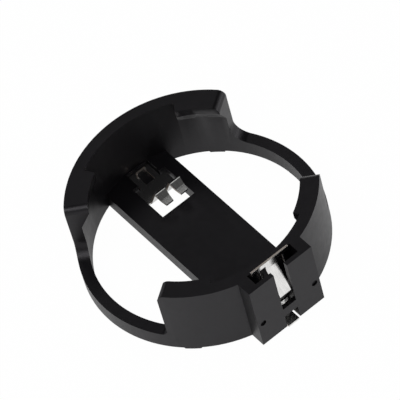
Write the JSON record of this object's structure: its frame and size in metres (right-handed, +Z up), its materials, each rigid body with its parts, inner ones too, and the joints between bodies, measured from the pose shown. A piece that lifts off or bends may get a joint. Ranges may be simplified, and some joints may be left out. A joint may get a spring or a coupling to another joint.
{
  "type": "coin cell holder",
  "caption": "Open ring holder for a thick coin cell, with a cross bar, high lipped walls, slotted front blocks and spring contacts with solder tabs for a board.",
  "frame": {"origin": "on the cell's axis, in the plane of the board that the feet stand on", "axes": "+Z up off the board along the cell's axis, -Y towards the slotted blocks with the positive contact, +Y towards the closed rear wall, +X to the right as seen from the blocks"},
  "size_m": [0.0276, 0.03, 0.0099],
  "materials": {
    "housing_plastic": "satin black moulded plastic",
    "contact_metal": "bright tin plating on phosphor bronze strip"
  },
  "bodies": {
    "root": {"housing": "housing_plastic", "positive_contact": "contact_metal", "negative_contact": "contact_metal"}
  },
  "joints": []
}
